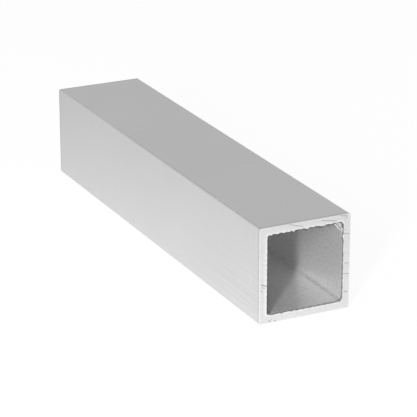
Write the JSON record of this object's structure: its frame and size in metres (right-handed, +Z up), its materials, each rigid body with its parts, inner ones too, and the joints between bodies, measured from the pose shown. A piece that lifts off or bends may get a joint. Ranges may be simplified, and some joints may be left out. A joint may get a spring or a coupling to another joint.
{
  "type": "square metal tube",
  "caption": "Straight length of thin-walled square hollow section, open and sawn at both ends, cut as stock for frames, brackets and sleeves.",
  "frame": {"origin": "middle of the underside, at mid-length", "axes": "+X across the tube, +Y along it towards the far end, +Z up, and the near sawn end faces -Y"},
  "size_m": [0.025, 0.125, 0.025],
  "materials": {
    "mill_metal": "mill finish, matt, with sawn ends"
  },
  "bodies": {
    "root": {"square_tube": "mill_metal"}
  },
  "joints": []
}
